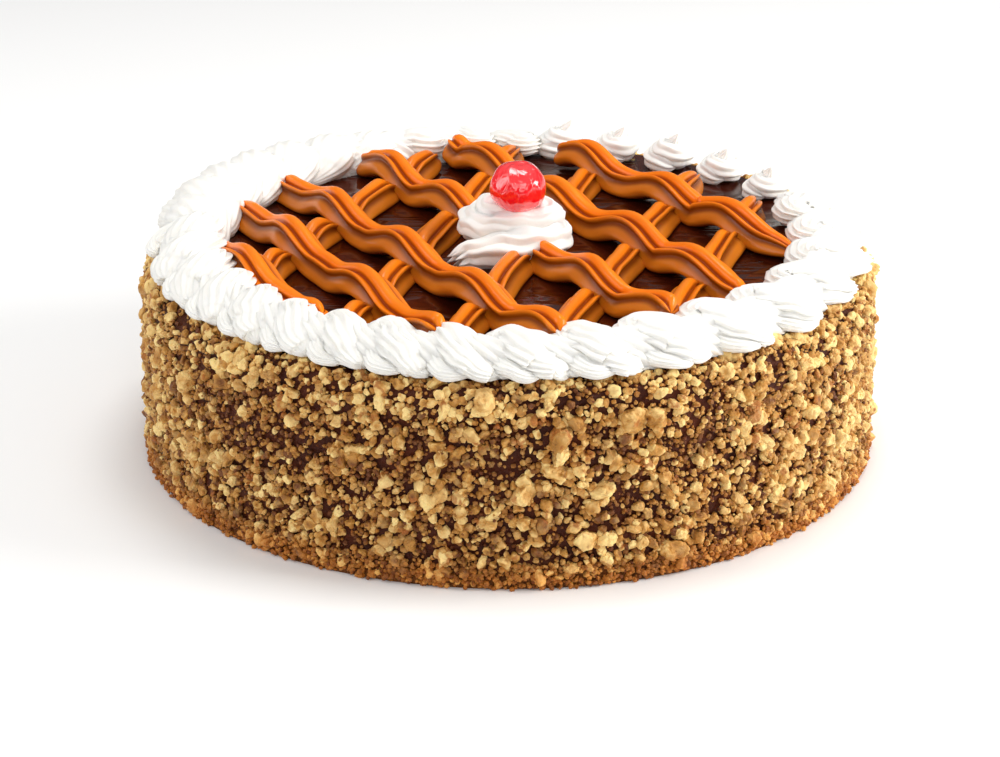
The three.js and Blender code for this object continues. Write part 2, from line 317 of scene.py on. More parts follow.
class Finish:
    """A material in the making, with one method for every kind of node."""

    def __init__(self, name):
        self.material = bpy.data.materials.new(name)
        self.material.use_nodes = True
        self.tree = self.material.node_tree
        self.surface = self.tree.nodes["Principled BSDF"]

    def put(self, socket, value):
        if isinstance(value, Wire):
            self.tree.links.new(value.socket, socket)
        elif value is not None:
            if socket.type == "RGBA" and len(value) == 3:
                value = (*value, 1)
            socket.default_value = value

    def node(self, kind, settings=None, values=None, output=0):
        made = self.tree.nodes.new("ShaderNode" + kind)
        for key, value in (settings or {}).items():
            setattr(made, key, value)
        for key, value in (values or {}).items():
            self.put(made.inputs[key], value)
        return Wire(self, made.outputs[output])

    def math(self, operation, *values):
        return self.node("Math", {"operation": operation}, dict(enumerate(values)))

    def coordinates(self, stretch=(1, 1, 1)):
        """Object coordinates in millimetres, divided by `stretch`."""
        where = self.node("TexCoord", output="Object")
        scale = [1 / MM / share for share in stretch]
        return self.node("Mapping", values={"Vector": where, "Scale": scale})

    def noise(self, size, detail=2, roughness=0.5, distortion=0, stretch=(1, 1, 1)):
        values = {"Vector": self.coordinates(stretch), "Scale": 1 / size, "Detail": detail,
                  "Roughness": roughness, "Distortion": distortion}
        return self.node("TexNoise", values=values)

    def attribute(self, name):
        return self.node("Attribute", {"attribute_name": name}, output="Fac")

    def mix(self, factor, low, high):
        settings = {"data_type": "RGBA"}
        return self.node("Mix", settings, {"Factor": factor, 6: low, 7: high}, output=2)

    def blend(self, low, high, value):
        """0 where value is under `low`, 1 over `high`, smooth between."""
        settings = {"interpolation_type": "SMOOTHSTEP"}
        values = {"Value": value, "From Min": low, "From Max": high}
        return self.node("MapRange", settings, values)

    def ramp(self, factor, *stops):
        made = self.tree.nodes.new("ShaderNodeValToRGB")
        self.put(made.inputs["Fac"], factor)
        elements = made.color_ramp.elements
        while len(elements) < len(stops):
            elements.new(0.5)
        for element, (place, colour) in zip(elements, stops):
            element.position = place
            element.color = (*colour, 1)
        return Wire(self, made.outputs["Color"])

    def bump(self, height, distance, under=None):
        values = {"Height": height, "Distance": distance * MM, "Strength": 1.0, "Normal": under}
        return self.node("Bump", values=values)

    def set(self, values):
        for key, value in values.items():
            self.put(self.surface.inputs[key], value)
        return self.material


def frosting_finish():
    f = Finish("chocolate_frosting")
    shade = f.noise(9, detail=4)
    colour = f.ramp(shade, (0.3, (0.036, 0.006, 0.002)), (0.7, (0.105, 0.020, 0.005)))
    height = f.node("SeparateXYZ", values={0: f.coordinates()}, output=2)
    foot = (1 - f.blend(2, 9, height + f.noise(6, detail=3) * 8 - 4)) * 0.8
    colour = f.mix(foot, colour, (0.26, 0.085, 0.014))
    lumps = f.noise(1.8, detail=4, roughness=0.65)
    return f.set({"Base Color": colour, "Roughness": 0.4, "Specular IOR Level": 0.22,
                  "Normal": f.bump(lumps, 1.4)})


CLEAR_NUT_TINT = (0.86, 0.88, 0.95)


def walnut_finish(name, dark, middle, light, skin_share):
    """Chopped walnut: each piece has its own shade, with brown skin on some faces, and
    the lowest ones are toasted brown."""
    f = Finish(name)
    shade = f.attribute("shade")
    patch = f.noise(2.6, detail=3)
    tone = shade + (patch - 0.5) * 0.55 - 0.05
    flesh = f.ramp(tone, (0.05, dark), (0.5, middle), (0.95, light))
    pale = f.blend(0.5, 0.68, f.noise(6.5, detail=2)) * 0.45
    clear = [0.5 * (a + b) * tint for a, b, tint in zip(middle, light, CLEAR_NUT_TINT)]
    flesh = f.mix(pale, flesh, clear)
    skin_place = f.noise(5.0, detail=2, distortion=0.5)
    skin = f.blend(0.66 - skin_share, 0.74 - skin_share, skin_place)
    colour = f.mix(skin * 0.8, flesh, (0.42, 0.130, 0.020))
    height = f.node("SeparateXYZ", values={0: f.coordinates()}, output=2)
    foot = (1 - f.blend(2, 10, height + f.noise(9, detail=2) * 8 - 4)) * 0.85
    toasted = f.ramp(
        tone, (0.05, (0.21, 0.053, 0.005)), (0.5, (0.53, 0.170, 0.018)), (0.95, (0.92, 0.43, 0.08)),
    )
    colour = f.mix(foot, colour, toasted)
    grain = f.noise(0.7, detail=4, roughness=0.65)
    return f.set({
        "Base Color": colour,
        "Roughness": 0.5,
        "Specular IOR Level": 0.35,
        "Subsurface Weight": 0.12,
        "Subsurface Radius": (1.0, 0.6, 0.3),
        "Subsurface Scale": 1.5 * MM,
        "Normal": f.bump(grain, 0.35),
    })


def glaze_finish():
    f = Finish("chocolate_glaze")
    cloud = f.noise(30, detail=3)
    colour = f.ramp(cloud, (0.35, (0.032, 0.0045, 0.0015)), (0.7, (0.070, 0.010, 0.003)))
    waves = f.noise(22, detail=2, distortion=0.6, stretch=(2.0, 0.8, 1))
    drawn = f.noise(3.4, detail=2, distortion=0.3, stretch=(4.0, 0.5, 1))
    drawn_place = f.blend(0.54, 0.64, f.noise(20, detail=1))
    height = waves + drawn * drawn_place * 0.4
    return f.set({"Base Color": colour, "Roughness": 0.12, "Specular IOR Level": 0.32,
                  "Normal": f.bump(height, 1.6)})


def caramel_finish():
    """Bright and clear on the ridges, with painted shade: dark in the grooves, brown down the walls, on
    faces that turn sideways or down and on the lower strands.
    """
    f = Finish("piped_caramel")
    # Painted shade: faces that turn sideways or down are mixed towards the brown wall colour.
    facing = f.node("SeparateXYZ", values={0: f.node("NewGeometry", output="Normal")}, output=2)
    side_facing_shade = 1 - f.blend(-0.3, 0.4, facing)
    ridge = f.attribute("ridge")
    under = f.attribute("under")
    cloud = f.noise(12, detail=3)
    # The crest colour is the caramel's own; the groove, hollow and wall colours are it in painted shade.
    crest = f.mix(cloud, (0.90, 0.184, 0.001), (0.97, 0.250, 0.004))
    groove = f.mix(cloud, (0.32, 0.042, 0.0002), (0.42, 0.062, 0.0004))
    painted_hollow_shade = f.mix(cloud, (0.160, 0.034, 0.001), (0.220, 0.050, 0.002))
    wall = f.mix(cloud, (0.42, 0.118, 0.008), (0.54, 0.168, 0.014))
    # Painted shade: the wall is darker still where its ridges are low.
    wall = f.mix(f.blend(0.1, 0.7, ridge), painted_hollow_shade, wall)
    # Painted shade in the grooves, where the ridge attribute is low.
    colour = f.mix(f.blend(0.02, 0.6, ridge), groove, crest)
    # Painted shade: the part of the section marked as wall is brown.
    colour = f.mix(f.attribute("wall") * 0.85, colour, wall)
    # Painted shade on faces that turn sideways or down, and on the lower strands under the upper ones.
    colour = f.mix(side_facing_shade * 0.3 + under * 0.4, colour, wall)
    creases = f.noise(1.6, detail=3)
    return f.set({
        "Base Color": colour,
        "Roughness": 0.26,
        "Specular IOR Level": 0.25,
        "Subsurface Weight": 0.08,
        "Subsurface Radius": (1.0, 0.3, 0.05),
        "Subsurface Scale": 1.5 * MM,
        "Normal": f.bump(creases, 0.08),
    })


def cream_finish():
    f = Finish("whipped_cream")
    tint = f.noise(14, detail=2)
    colour = f.mix(tint, (0.900, 0.880, 0.825), (0.940, 0.925, 0.885))
    bubbles = f.noise(0.9, detail=3, roughness=0.6)
    return f.set({
        "Base Color": colour,
        "Roughness": 0.45,
        "Subsurface Weight": 0.4,
        "Subsurface Radius": (1.0, 0.93, 0.82),
        "Subsurface Scale": 2.5 * MM,
        "Normal": f.bump(bubbles, 0.08),
    })


def cherry_finish():
    f = Finish("candied_cherry")
    depth = f.noise(5, detail=3, distortion=0.4)
    colour = f.ramp(depth, (0.3, (0.78, 0.003, 0.008)), (0.75, (0.96, 0.012, 0.022)))
    wrinkles = f.noise(3.0, detail=2, distortion=1.0, stretch=(1, 1, 2.2))
    return f.set({
        "Base Color": colour,
        "Roughness": 0.07,
        "Subsurface Weight": 0.6,
        "Subsurface Radius": (1.0, 0.15, 0.12),
        "Subsurface Scale": 4.0 * MM,
        # Painted light: a faint red emission that stands for light shining through the cherry.
        "Emission Color": (0.9, 0.010, 0.018),
        "Emission Strength": 0.20,
        "Coat Weight": 1.0,
        "Coat Roughness": 0.03,
        "Specular IOR Level": 0.8,
        "Normal": f.bump(wrinkles, 0.8),
    })


# Cake body

def side_radius(z):
    return CAKE_RADIUS + FOOT_FLARE * (1 - 2 * z / CAKE_HEIGHT)


def frosted_cake(material):
    """Frosted sponge: a round block with a soft shoulder and a lumpy side."""
    bpy.ops.object.select_all(action="DESELECT")
    bpy.ops.mesh.primitive_cylinder_add(
        vertices=360, radius=CAKE_RADIUS * MM, depth=CAKE_HEIGHT * MM,
        location=(0, 0, CAKE_HEIGHT / 2 * MM),
    )
    piece = bpy.context.active_object
    bpy.ops.object.transform_apply(location=True, rotation=True, scale=True)
    edit(piece, "EDGE")
    top = CAKE_HEIGHT * MM
    select_edges(piece, lambda a, b: min(a.z, b.z) > top * 0.99)
    bpy.ops.mesh.bevel(offset=SHOULDER_ROUNDING * MM, segments=6, affect="EDGES")
    select_edges(piece, lambda a, b: abs(a.z - b.z) > top * 0.5)
    bpy.ops.mesh.subdivide(number_cuts=36)
    bpy.ops.object.mode_set(mode="OBJECT")
    points = points_of(piece)
    spread = np.hypot(points[:, 0], points[:, 1])
    height = points[:, 2] / MM
    rim = smooth_step(60, 100, spread / MM)
    scale = 1 + rim * (side_radius(height) / CAKE_RADIUS - 1)
    points[:, :2] *= scale[:, None]
    outwards = points[:, :2] / np.maximum(spread, 1e-6)[:, None]
    lumps = np.array([
        noise.noise(Vector(p) / 0.009) + 0.4 * noise.noise(Vector(p) / 0.003) for p in points
    ])
    lumps *= 0.7 * ((spread > 100 * MM) & (height > 1) & (height < CAKE_HEIGHT - 0.4))
    points[:, :2] += outwards * ((lumps - 0.5 * (lumps != 0)) * MM)[:, None]
    place_points(piece, points)
    return finished(piece, "frosted_cake", material, "frosted_side", "cake_body")


# Chopped walnuts

def chopped_form(seed, detail, cuts, voxel, faces):
    """One chopped piece: a ball cut by flat knife strokes, then crumbled all over. It
    comes back as points and faces, and how far out each point stands."""
    random = np.random.default_rng(seed)
    bpy.ops.object.select_all(action="DESELECT")
    bpy.ops.mesh.primitive_ico_sphere_add(subdivisions=detail, radius=1, location=(0, 0, 0))
    piece = bpy.context.active_object
    edit(piece)
    for _ in range(cuts):
        stroke = Vector(random.normal(size=3)).normalized()
        bpy.ops.mesh.select_all(action="SELECT")
        bpy.ops.mesh.bisect(
            plane_co=stroke * random.uniform(0.45, 0.8), plane_no=stroke,
            use_fill=True, clear_outer=True,
        )
    bpy.ops.object.mode_set(mode="OBJECT")
    if voxel:
        remesh = piece.modifiers.new("crumb", "REMESH")
        remesh.mode = "VOXEL"
        remesh.voxel_size = voxel
        for kind, size, depth in (("VORONOI", 0.8, 0.30), ("CLOUDS", 0.28, 0.30)):
            texture = bpy.data.textures.new("crumbled", kind)
            texture.noise_scale = size
            push = piece.modifiers.new("crumbled", "DISPLACE")
            push.texture = texture
            push.texture_coords = "LOCAL"
            push.strength = depth
        piece.data.transform(Matrix.Translation((seed * 3.7, seed * 1.3, 0)))
        apply_modifiers(piece)
        piece.data.transform(Matrix.Translation((-seed * 3.7, -seed * 1.3, 0)))
    flat = piece.modifiers.new("flat", "TRIANGULATE")
    flat.min_vertices = 4
    apply_modifiers(piece)
    thin = piece.modifiers.new("thin", "DECIMATE")
    thin.ratio = min(1.0, faces / len(piece.data.polygons))
    apply_modifiers(piece)
    points = points_of(piece)
    points -= points.mean(0)
    reach = np.linalg.norm(points, axis=1)
    points /= reach.mean()
    form_faces = np.array([polygon.vertices[:] for polygon in piece.data.polygons])
    bpy.data.objects.remove(piece)
    return points, form_faces, np.clip((reach / reach.mean() - 1) * 2.5, -1, 1)


def turned(random):
    """A random turn as a matrix."""
    a, b, c, d = random.normal(size=4)
    n = math.sqrt(a * a + b * b + c * c + d * d)
    a, b, c, d = a / n, b / n, c / n, d / n
    return np.array([
        [1 - 2 * (c * c + d * d), 2 * (b * c - a * d), 2 * (b * d + a * c)],
        [2 * (b * c + a * d), 1 - 2 * (b * b + d * d), 2 * (c * d - a * b)],
        [2 * (b * d - a * c), 2 * (c * d + a * b), 1 - 2 * (b * b + c * c)],
    ])


def joined(name, kinds, copies):
    """Many copies of a few forms as one mesh. A copy is (form, matrix, place, shade),
    and a point's shade is its copy's own, lighter on high points than in pits."""
    points, faces, shades, count = [], [], [], 0
    for which, matrix, place, shade in copies:
        form, form_faces, high = kinds[which]
        spot = form @ matrix.T + place
        over = np.hypot(spot[:, 0], spot[:, 1]) / NUT_REACH
        spot[:, :2] /= np.maximum(over, 1)[:, None]
        spot[:, 2] = np.maximum(spot[:, 2], 0.05)
        points.append(spot)
        faces.append(form_faces + count)
        shades.append(shade + 0.30 * high)
        count += len(form)
    points, faces, shades = np.concatenate(points), np.concatenate(faces), np.concatenate(shades)
    mesh = bpy.data.meshes.new(name)
    mesh.vertices.add(len(points))
    mesh.vertices.foreach_set("co", (points * MM).ravel())
    mesh.loops.add(len(faces) * 3)
    mesh.loops.foreach_set("vertex_index", faces.ravel())
    mesh.polygons.add(len(faces))
    mesh.polygons.foreach_set("loop_start", np.arange(0, len(faces) * 3, 3))
    mesh.update(calc_edges=True)
    mesh.attributes.new("shade", "FLOAT", "POINT").data.foreach_set("value", shades)
    piece = bpy.data.objects.new(name, mesh)
    bpy.context.scene.collection.objects.link(piece)
    return piece


def side_profile(run):
    """Where the frosting's surface is, `run` millimetres up from its foot: radius,
    height and slope, over the side, the shoulder and a little of the top."""
    straight = CAKE_HEIGHT - SHOULDER_ROUNDING
    arc = SHOULDER_ROUNDING * math.pi / 2
    middle = side_radius(straight) - SHOULDER_ROUNDING
    if run < straight:
        return side_radius(run), run, 0.0
    if run < straight + arc:
        tilt = (run - straight) / SHOULDER_ROUNDING
        height = straight + SHOULDER_ROUNDING * math.sin(tilt)
        return middle + SHOULDER_ROUNDING * math.cos(tilt), height, tilt
    return middle - (run - straight - arc), CAKE_HEIGHT, math.pi / 2


# How high up the side and shoulder the walnuts reach, the size of their clumps, and how
# much lighter they are painted on the top band and on the side that faces the right light:
# painted light, not a tone of the nuts.
SIDE_MAP_HEIGHT = 68
CLUMP_SIZE = 16
PAINTED_LIGHT_BAND_FROM = 52
PAINTED_LIGHT_BAND = 0.20
PAINTED_LIGHT_RIGHT = 0.14


class SideMap:
    """The unrolled side of the cake as a raster of what is covered already."""

    CELL = 0.4

    def __init__(self, high):
        self.columns = int(2 * math.pi * CAKE_RADIUS / self.CELL)
        self.rows = int(high / self.CELL) + 12
        self.covered = np.zeros((self.columns, self.rows), bool)

    def free(self, angle, run):
        column = int(angle / (2 * math.pi) * self.columns) % self.columns
        return not self.covered[column, int(run / self.CELL)]

    def cover(self, angle, run, radius):
        cells = int(radius / self.CELL)
        column = int(angle / (2 * math.pi) * self.columns)
        row = int(run / self.CELL)
        for i in range(-cells, cells + 1):
            reach = int(math.sqrt(cells * cells - i * i))
            low = max(0, row - reach)
            self.covered[(column + i) % self.columns, low:row + reach + 1] = True


def crowd(angle, run):
    """How closely the nuts lie here, from about -1 to 1."""
    where = Vector((math.cos(angle), math.sin(angle), 0)) * (CAKE_RADIUS / CLUMP_SIZE)
    where.z = run / CLUMP_SIZE
    return noise.noise(where) + 0.5 * noise.noise(where * 2.7)


# For each kind of piece: how many at most, how many places are tried, their radii, how
# strongly small ones are favoured, the share of its radius that one keeps free of later
# ones, the band up the side, how bare a place may be, how far they stand out of the
# frosting in shares of their radius, and the mean and spread of their shade.
WALNUT_RULES = {
    "walnuts_large": (85, 9000, (2.7, 4.0), 1.6, 0.95, (7, 62), -0.05, (-0.1, 0.15), (0.72, 0.14)),
    "walnuts_medium": (1500, 50000, (1.4, 2.4), 1.2, 0.84, (3, 66), -0.45, (-0.1, 0.35), (0.62, 0.22)),
    "walnuts_small": (4100, 80000, (0.9, 1.5), 1.1, 0.8, (1.5, 67.5), -0.7, (-0.1, 0.5), (0.50, 0.25)),
    "walnut_bits": (9500, 60000, (0.5, 1.0), 1.1, 0.7, (0.6, 67.5), -1, (0.0, 0.7), (0.36, 0.24)),
    "walnut_crumbs": (6500, 7500, (0.3, 0.6), 1.2, 0.3, (0.3, 67), -1, (0.5, 2.5), (0.30, 0.22)),
    "foot_crumbs": (4200, 40000, (0.45, 1.0), 1.2, 0.5, (0.4, 8), -1, (0.2, 1.6), (0.40, 0.14)),
}


def scattered(name, material, seed, side, kinds):
    """Presses pieces of one kind into the side, wherever the side map is still free."""
    count, tries, sizes, pick, cover, band, bare, lift, tone = WALNUT_RULES[name]
    random = np.random.default_rng(seed)
    copies = []
    for _ in range(tries):
        if len(copies) >= count:
            break
        angle = random.random() * 2 * math.pi
        radius = sizes[0] + (sizes[1] - sizes[0]) * random.random() ** pick
        run = band[0] + random.random() * (band[1] - band[0])
        here = crowd(angle, run)
        if here < bare + random.random() * 0.25 or not side.free(angle, run):
            continue
        side.cover(angle, run, radius * cover)
        stretch = np.diag(0.7 + 0.5 * random.random(3)) * radius
        out, up, tilt = side_profile(run)
        raised = radius * (lift[0] + (lift[1] - lift[0]) * random.random())
        out += raised * math.cos(tilt)
        place = np.array([out * math.cos(angle), out * math.sin(angle), up + raised * math.sin(tilt)])
        # Nuts are lighter in thick clumps, their own tone; on top of that, painted light makes them
        # lighter on the top band and on the side that faces the right light.
        tone_and_painted_light = 0.12 * here + PAINTED_LIGHT_BAND * (run > PAINTED_LIGHT_BAND_FROM)
        tone_and_painted_light += PAINTED_LIGHT_RIGHT * max(0.0, math.cos(angle + 0.35)) ** 4
        shade = random.normal(tone[0] + tone_and_painted_light, tone[1])
        copies.append((random.integers(len(kinds)), turned(random) @ stretch, place, shade))
    piece = joined(name, kinds, copies)
    return finished(piece, name, material, "frosted_side", crisp=True)


def walnut_side():
    large_forms = [chopped_form(i + 1, 2, 6, 0.13, 1250) for i in range(8)]
    medium_forms = [chopped_form(i + 21, 2, 6, 0.24, 130) for i in range(10)]
    small_forms = [chopped_form(i + 41, 2, 5, 0.34, 48) for i in range(10)]
    bit_forms = [chopped_form(i + 61, 1, 3, None, 20) for i in range(8)]
    side = SideMap(SIDE_MAP_HEIGHT)
    nut = walnut_finish(
        "chopped_walnut", (0.18, 0.056, 0.010), (0.58, 0.275, 0.054), (1.00, 0.72, 0.29), 0.05,
    )
    crumb = walnut_finish(
        "walnut_crumbs", (0.14, 0.038, 0.007), (0.46, 0.190, 0.032), (0.90, 0.55, 0.18), 0.03,
    )
    scattered("walnuts_large", nut, 11, side, large_forms)
    scattered("walnuts_medium", nut, 12, side, medium_forms)
    scattered("walnuts_small", nut, 13, side, small_forms)
    scattered("walnut_bits", crumb, 14, side, bit_forms)
    scattered("walnut_crumbs", crumb, 15, SideMap(SIDE_MAP_HEIGHT), bit_forms)
    scattered("foot_crumbs", crumb, 16, SideMap(SIDE_MAP_HEIGHT), bit_forms)


# Glaze

def poured_glaze(material):
    """A thin pool with a narrow lip ring, smooth-shaded; its finish makes its surface look gently
    uneven.
    """
    bpy.ops.object.select_all(action="DESELECT")
    bpy.ops.mesh.primitive_circle_add(
        vertices=192, radius=GLAZE_RADIUS * MM, fill_type="NGON", location=(0, 0, glaze_low.z),
    )
    piece = bpy.context.active_object
    bpy.ops.object.transform_apply(location=True, rotation=True, scale=True)
    edit(piece)
    bpy.ops.mesh.select_all(action="SELECT")
    bpy.ops.mesh.extrude_region_move(
        TRANSFORM_OT_translate={"value": (0, 0, glaze_high.z - glaze_low.z)},
    )
    bpy.ops.mesh.inset(thickness=GLAZE_LIP * MM)
    rings = 34
    for _ in range(rings):
        bpy.ops.mesh.inset(thickness=(GLAZE_RADIUS - GLAZE_LIP) / (rings + 1) * MM)
    bpy.ops.mesh.select_all(action="SELECT")
    bpy.ops.mesh.normals_make_consistent(inside=False)
    bpy.ops.object.mode_set(mode="OBJECT")
    return finished(piece, "poured_glaze", material, "chocolate_glaze", "chocolate_glaze")


# Caramel lattice

def line_of(turn, offset):
    normal = np.array([math.cos(math.radians(turn)), math.sin(math.radians(turn))])
    return normal, np.array([normal[1], -normal[0]]), offset


def crossings(line, others):
    """Distances along a line at which the others cross it."""
    normal, direction, offset = line
    return [(o - offset * normal @ n) / (direction @ n) for n, _, o in others]


def over_crossing(along, crossing_places, low, high):
    """1 within `low` of a crossing, falling softly to 0 at `high` from it."""
    share = np.zeros_like(along)
    for at in crossing_places:
        t = np.clip((np.abs(along - at) - low) / (high - low), 0, 1)
        share = np.maximum(share, 0.5 + 0.5 * np.cos(np.pi * t))
    return share


def softened(values, spread):
    """A run of values with its corners rounded, as soft food settles."""
    reach = np.arange(-3 * spread, 3 * spread + 1)
    weights = np.exp(-0.5 * (reach / spread) ** 2)
    padded = np.pad(values, 3 * spread, mode="edge")
    return np.convolve(padded, weights / weights.sum(), mode="valid")


def slow_noise(seed, run, size):
    """Smooth unevenness along a run, between about -1 and 1."""
    return np.array([noise.noise(Vector((seed * 9.7, s / size, seed))) for s in run]) * 1.6


def resting(values, floor, softness):
    """Keeps values above a floor, with a rounded edge where they meet it."""
    return floor + 0.5 * (values - floor + np.sqrt((values - floor) ** 2 + softness ** 2))


def tapered(distance, length):
    return np.clip(1 - (1 - np.clip(distance / length, 0, 1)) ** 2, 0.003, 1) ** 0.6


def caramel_strand(name, number, strand, heights, material, node, mirrored, under):
    """A strand drawn straight over the cake through a star nozzle of six points, which
    settles where it lies. `heights(run)` gives the height of its middle, that of what
    it lies on, and how far it is pressed. A mirrored one leans to the right."""
    (turned_by, offset), (start, stop), narrows = strand
    normal, direction, _ = line_of(turned_by, offset)
    steps = int((stop - start) / 1.3)
    samples = np.linspace(start, stop, 500)
    middle, floor, press = heights(samples)
    middle = softened(middle, 3)
    slope = np.gradient(middle, samples)
    sway = slow_noise(number + 1, samples, 24) * 0.7
    roll = slow_noise(number + 31, samples, 34) * 0.22 - 0.5 * slope
    fat = 1 + slow_noise(number + 61, samples, 15) * 0.05
    painted_shading = []

    def place(along, around, rim):
        run = start + (stop - start) * along

        def at(values):
            return np.interp(run, samples, values)

        taper = tapered(run - start, narrows[0]) * tapered(stop - run, narrows[1])
        turn = 2 * np.pi * around
        lobe = np.degrees(turn - at(roll))
        lobe = ((180 - lobe if mirrored else lobe) + 20) % 360 - 20
        share, ridge, wall = spline(STRAND_SECTION[:, 0], STRAND_SECTION[:, 1:], lobe).T
        # The ridge and wall shares go to the finish as painted shade.
        painted_shading.extend((ridge.clip(0, 1), wall.clip(0, 1)))
        reach = STRAND_RADIUS * share * rim * taper * at(fat)
        tilt = np.arctan(at(slope))
        across = reach * np.cos(turn)
        rise = reach * np.sin(turn)
        ahead = run - rise * np.sin(tilt)
        middle_here = at(middle) + (1 - taper) * 0.4
        height = (middle_here + rise * np.cos(tilt)) * (1 - at(press))
        height = resting(height, at(floor), 0.7)
        low = 1 - smooth_step(0.0, 4.5, height - at(floor))
        across = across * (1 + 0.16 * low) + at(sway)
        flat = (offset + across)[:, None] * normal + ahead[:, None] * direction
        return np.column_stack([flat, TOP - 0.2 + height])

    piece = piped(name, 80, steps, place)
    # under is 1 on the lower strands, which the finish paints browner: painted shade under the upper
    # strands.
    painted_shading.append(np.full(len(painted_shading[0]), under))
    for key, values in zip(("ridge", "wall", "under"), painted_shading):
        piece.data.attributes.new(key, "FLOAT", "POINT").data.foreach_set("value", values)
    return finished(piece, name, material, "caramel", node)


def caramel_lattice(material):
    upper = [line_of(*strand[0]) for strand in UPPER_STRANDS]
    lower = [line_of(*strand[0]) for strand in LOWER_STRANDS]
    for i, line in enumerate(lower):
        places = crossings(line, upper)

        def heights(run, places=places):
            pressed = 1 - PRESSED_HEIGHT / (LOWER_CENTRE + STRAND_RADIUS)
            press = pressed * over_crossing(run, places, 3, 15)
            return np.full_like(run, LOWER_CENTRE), np.zeros_like(run), press

        name = f"lower_strand_{i + 1:02d}"
        node = f"caramel_lower_{i + 1:02d}"
        # The last 1.0 marks a lower strand for painted shade.
        caramel_strand(name, i + 20, LOWER_STRANDS[i], heights, material, node, True, 1.0)
    for i, line in enumerate(upper):
        places = crossings(line, lower)
        pressed = 0.95 if i == UNDER_ROSETTE else 0.0

        def heights(run, places=places, pressed=pressed):
            free = 1 - pressed * (1 - smooth_step(14, 28, np.abs(run - 5)))
            lift = UPPER_LIFT * over_crossing(run + 2, places, 0, CROSSING_REACH) * free
            floor = PRESSED_HEIGHT * over_crossing(run, places, 3, 13) * free
            return STRAND_CENTRE + lift, floor, np.zeros_like(run)

        name = f"upper_strand_{i + 1:02d}"
        node = f"caramel_upper_{i + 1:02d}"
        caramel_strand(name, i, UPPER_STRANDS[i], heights, material, node, False, 0.0)


# Cream

def shell_pitch(angle):
    away = (angle - WIDE_PITCH_AT + 180) % 360 - 180
    share = max(0.0, math.cos(math.radians(away * 0.85)))
    return SHELL_PITCH[0] + (SHELL_PITCH[1] - SHELL_PITCH[0]) * share


def shell_seams():
    seams = [BORDER_START]
    while seams[-1] < BORDER_START + 360:
        seams.append(seams[-1] + shell_pitch(seams[-1]))
    stretch = 360 / (seams[-1] - BORDER_START)
    return [BORDER_START + (angle - BORDER_START) * stretch for angle in seams]


# A shell's stroke in shares of its length, half width and height, then its own half
# width and half height. It starts at the outer side, loops round to the inner one, and
# sweeps over and outwards to a tail, which the next shell covers.
SHELL_STROKE = np.array([
    (0.18, 0.84, 0.10, 0.06, 0.05), (0.08, 0.92, 0.13, 0.26, 0.16), (-0.09, 0.93, 0.17, 0.34, 0.21),
    (-0.25, 0.78, 0.22, 0.38, 0.25), (-0.35, 0.48, 0.29, 0.42, 0.30), (-0.41, 0.12, 0.37, 0.46, 0.36),
    (-0.43, -0.24, 0.44, 0.50, 0.42), (-0.38, -0.52, 0.50, 0.56, 0.47), (-0.27, -0.50, 0.54, 0.64, 0.51),
    (-0.15, -0.26, 0.55, 0.72, 0.53), (-0.02, 0.02, 0.52, 0.77, 0.52), (0.12, 0.27, 0.46, 0.78, 0.48),
    (0.26, 0.48, 0.37, 0.74, 0.41), (0.38, 0.64, 0.28, 0.64, 0.34), (0.49, 0.75, 0.20, 0.50, 0.26),
    (0.58, 0.82, 0.14, 0.32, 0.18), (0.64, 0.86, 0.10, 0.06, 0.05),
])
# At the back left the cream is laid over from the outer side to the inner one.
WAVE_STROKE = np.array([
    (-0.50, 0.94, 0.05, 0.06, 0.05), (-0.48, 0.92, 0.08, 0.24, 0.16), (-0.45, 0.86, 0.14, 0.36, 0.22),
    (-0.41, 0.77, 0.22, 0.50, 0.30), (-0.36, 0.66, 0.30, 0.62, 0.38), (-0.29, 0.50, 0.38, 0.76, 0.46),
    (-0.21, 0.34, 0.43, 0.86, 0.50), (-0.12, 0.17, 0.46, 0.94, 0.53), (-0.02, 0.00, 0.47, 0.98, 0.55),
    (0.09, -0.16, 0.46, 0.96, 0.54), (0.20, -0.32, 0.41, 0.91, 0.51), (0.31, -0.45, 0.35, 0.83, 0.46),
    (0.42, -0.58, 0.29, 0.71, 0.39), (0.54, -0.70, 0.22, 0.57, 0.31), (0.66, -0.80, 0.16, 0.42, 0.23),
    (0.79, -0.87, 0.10, 0.24, 0.14), (0.90, -0.92, 0.05, 0.03, 0.03),
])
# At the back right each dollop is a swirl that ends in a lifted point, in millimetres.
DOLLOP_STROKE = np.array([
    (-4.8, -4.2, 2.2, 0.6), (-2.0, -5.0, 2.8, 3.1), (3.6, -3.6, 3.0, 4.0), (5.2, 1.5, 3.4, 4.3),
    (1.7, 4.4, 4.0, 4.3), (-3.4, 3.0, 4.4, 4.2), (-3.6, -1.9, 4.9, 4.2), (0.8, -2.7, 5.4, 4.2),
    (2.2, 0.2, 6.0, 4.1), (0.4, 1.5, 6.8, 3.9), (-1.0, 0.5, 8.2, 3.2), (-1.8, -0.1, 10.1, 2.0),
    (-3.2, -0.6, 12.6, 0.2),
])


def along_border(angle, radius, flat):
    """Points given as (onwards, outwards) from a place on the border."""
    outwards = np.array([math.cos(angle), math.sin(angle)])
    onwards = np.array([-outwards[1], outwards[0]])
    return outwards * (radius + flat[:, 1:2]) + onwards * flat[:, 0:1]


